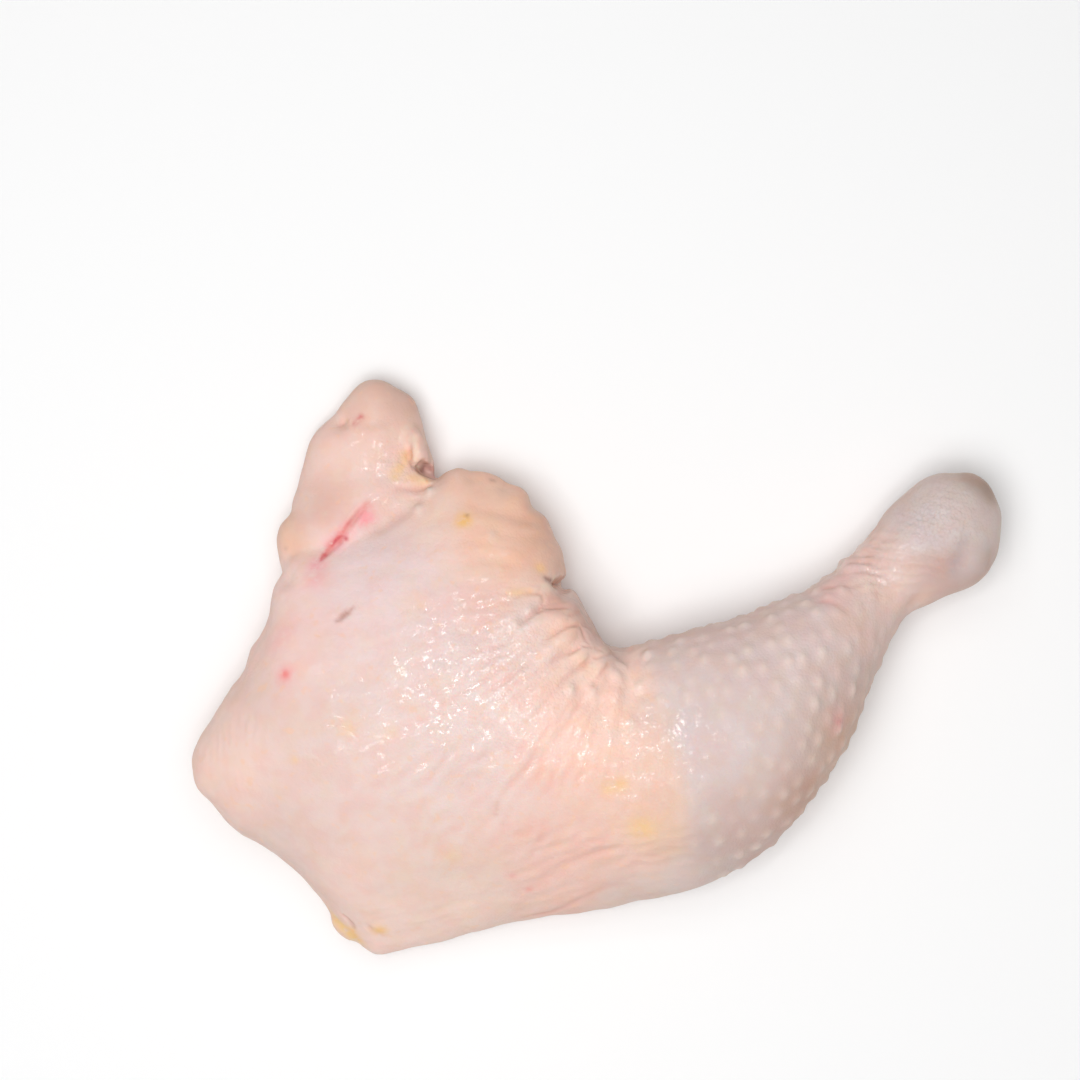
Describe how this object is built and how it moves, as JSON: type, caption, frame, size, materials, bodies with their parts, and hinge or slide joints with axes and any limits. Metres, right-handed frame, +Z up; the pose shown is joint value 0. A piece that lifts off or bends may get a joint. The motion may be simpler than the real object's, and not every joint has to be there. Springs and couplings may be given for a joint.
{
  "type": "raw chicken leg",
  "caption": "Raw chicken leg with its skin on: thigh with a loose flap of tail skin, bent knee, drumstick and knuckle, lying on its inner side.",
  "frame": {"origin": "on the table, under the middle of the leg's bounding box", "axes": "+X along the leg from the cut end of the thigh to the knuckle, +Y towards the back of the knee, +Z up from the table"},
  "size_m": [0.2008, 0.1442, 0.0424],
  "materials": {
    "skin": "moist raw skin, pink to pale yellow, with a thin wet film"
  },
  "bodies": {
    "root": {"chicken_leg": "skin"}
  },
  "joints": []
}
